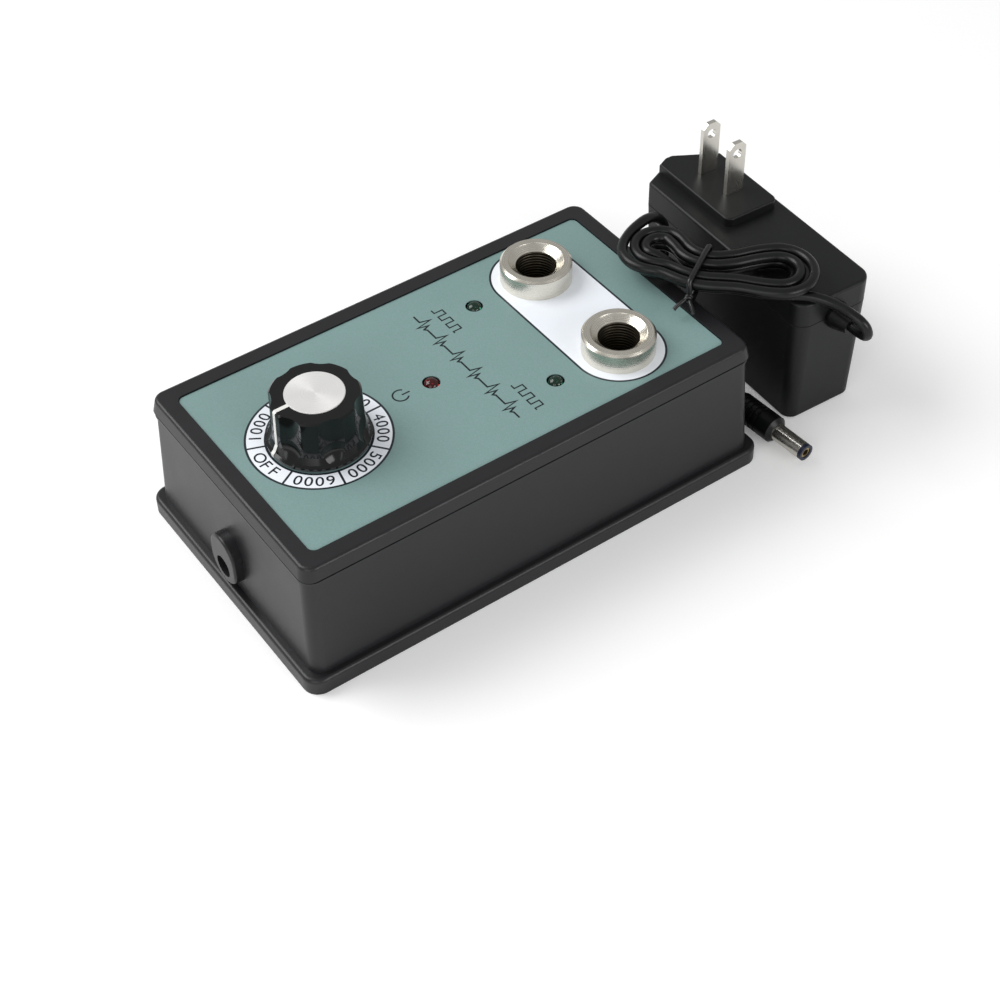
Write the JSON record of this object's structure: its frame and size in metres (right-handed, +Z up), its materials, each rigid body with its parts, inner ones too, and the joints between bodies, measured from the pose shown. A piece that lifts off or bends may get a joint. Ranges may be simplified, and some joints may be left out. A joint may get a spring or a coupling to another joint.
{
  "type": "spark plug tester",
  "caption": "Bench tester for spark plugs: a flanged black box with a ring dial and fluted knob, flanged plug sockets, signal lamps and a plug-in supply on a tied cord.",
  "frame": {"origin": "middle of the tester's underside, on the surface that it stands on", "axes": "+Z up; +Y along the tester from the supply socket's end to the plug sockets' end; +X across it"},
  "size_m": [0.1023, 0.2043, 0.0672],
  "materials": {
    "case": "fine satin",
    "label": "printed film",
    "nickel": "turned, bright",
    "zinc": "plated",
    "brass": "plain",
    "nylon": "natural",
    "spring": "bright",
    "red_lens": "clear red",
    "green_lens": "clear green",
    "hookup": "insulation",
    "bakelite": "moulded",
    "knob": "polished",
    "white": "inlaid",
    "aluminium": "spun",
    "board": "lacquered",
    "ferrite": "sintered",
    "tape": "taped",
    "sleeve": "shrunk sleeve",
    "resistor": "lacquered",
    "hv": "silicone",
    "supply": "fine texture",
    "cord": "smooth",
    "tie": "coated wire",
    "contact": "plated"
  },
  "bodies": {
    "tester": {"case_shell": "case", "base_plate": "case", "base_screws": "zinc", "face_label": "label", "plug_sockets": "nickel", "contact_guides": "nylon", "contact_spring_left": "spring", "contact_spring_right": "spring", "socket_washers": "zinc", "socket_nuts": "zinc", "contact_seats": "brass", "power_lamp": "red_lens", "signal_lamps": "green_lens", "lamp_legs": "zinc", "panel_leads": "hookup", "pot_body": "zinc", "pot_switch": "bakelite", "pot_bushing": "brass", "pot_washer": "zinc", "pot_nut": "zinc", "pot_terminals": "zinc", "jack_bezel": "case", "dc_jack": "case", "jack_pin": "contact", "main_board": "board", "board_screws": "zinc", "transformer_core": "ferrite", "transformer_bobbin": "nylon", "transformer_winding": "tape", "heat_sink": "aluminium", "power_transistor": "ferrite", "timer_chip": "ferrite", "board_capacitors": "sleeve", "board_resistors": "resistor", "hv_leads": "hv", "supply_back": "supply", "supply_front": "supply", "supply_blades": "nickel", "supply_board": "board", "supply_transformer": "tape", "supply_leads": "hookup", "strain_relief": "cord", "cord_start": "cord", "cord_hank": "cord", "cord_tail": "cord", "cord_tie": "tie", "plug_grip": "cord", "plug_barrel": "nickel", "plug_ring": "nylon", "plug_contact": "contact"},
    "knob_group": {"knob": "knob", "knob_pointer": "white", "knob_cap": "aluminium", "knob_insert": "brass", "pot_shaft": "aluminium", "pot_rotor": "bakelite"},
    "plunger_left": {"contact_plunger_left": "brass"},
    "plunger_right": {"contact_plunger_right": "brass"}
  },
  "joints": [
    {"name": "knob_turn", "type": "hinge", "parent": "tester", "child": "knob_group", "pos_m": [0, -0.0447, 0.044], "axis": [0, 0, 1], "range_deg": [-300, 0]},
    {"name": "plunger_left_slide", "type": "slide", "parent": "tester", "child": "plunger_left", "axis": [0, 0, 1], "range_m": [-0.005, 0], "stiffness_N_per_m": 600, "springref_m": 0.003, "deforming": ["contact_spring_left"]},
    {"name": "plunger_right_slide", "type": "slide", "parent": "tester", "child": "plunger_right", "axis": [0, 0, 1], "range_m": [-0.005, 0], "stiffness_N_per_m": 600, "springref_m": 0.003, "deforming": ["contact_spring_right"]}
  ]
}
